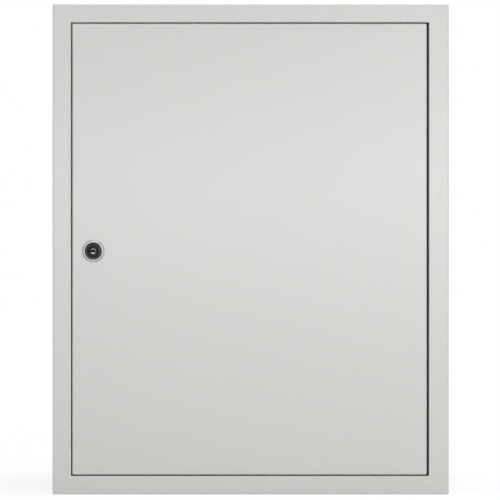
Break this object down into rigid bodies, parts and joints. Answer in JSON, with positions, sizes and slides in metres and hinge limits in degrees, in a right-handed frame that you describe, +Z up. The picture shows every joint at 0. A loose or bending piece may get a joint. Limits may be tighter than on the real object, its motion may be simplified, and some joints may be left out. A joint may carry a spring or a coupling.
{
  "type": "steel wall enclosure",
  "caption": "Shallow rectangular sheet-steel wall enclosure with an inset hinged door, quarter-turn cam lock, folded front frame and an internal mounting plate.",
  "frame": {"origin": "centre of the four wall fixing holes, on the rear face that lies against the wall", "axes": "+Z up along the case's height; +Y into the wall, so the door faces -Y; +X towards the hinge side"},
  "size_m": [0.404, 0.2226, 0.5],
  "materials": {
    "light_grey_paint": "semi-matt powder coat with a faint orange-peel texture",
    "galvanised_sheet": "galvanised, with a soft spangle",
    "zinc_plated_steel": "bright zinc plating",
    "copper_plated_steel": "copper-flashed weld stud",
    "lock_chrome": "polished chrome plating",
    "lock_black": "satin black",
    "lock_plug_metal": "dark nickel plating",
    "black_nylon": "plain moulded nylon"
  },
  "bodies": {
    "case": {"case_shell": "light_grey_paint", "rear_wall": "light_grey_paint", "upper_case_hinge_plate": "light_grey_paint", "lower_case_hinge_plate": "light_grey_paint", "hinge_pins": "zinc_plated_steel", "hinge_washers": "black_nylon", "mounting_plate": "galvanised_sheet", "plate_studs": "zinc_plated_steel", "plate_spacers": "zinc_plated_steel", "plate_nuts": "zinc_plated_steel", "case_earth_stud": "copper_plated_steel", "case_earth_nut": "zinc_plated_steel"},
    "door": {"door_panel": "light_grey_paint", "upper_door_hinge_plate": "light_grey_paint", "lower_door_hinge_plate": "light_grey_paint", "door_earth_stud": "copper_plated_steel", "door_earth_nut": "zinc_plated_steel", "lock_housing": "lock_chrome", "lock_face_ring": "lock_black", "lock_nut": "zinc_plated_steel"},
    "lock_cylinder": {"lock_plug": "lock_plug_metal", "cam_stop_washer": "zinc_plated_steel", "lock_cam": "zinc_plated_steel", "cam_screw": "zinc_plated_steel"}
  },
  "joints": [
    {"name": "door_hinge", "type": "hinge", "parent": "case", "child": "door", "pos_m": [0.1677, -0.2135, 0], "axis": [0, 0, 1], "range_deg": [0, 120]},
    {"name": "lock_turn", "type": "hinge", "parent": "door", "child": "lock_cylinder", "pos_m": [-0.1603, -0.22, -0.002], "axis": [0, 1, 0], "range_deg": [0, 90]}
  ]
}
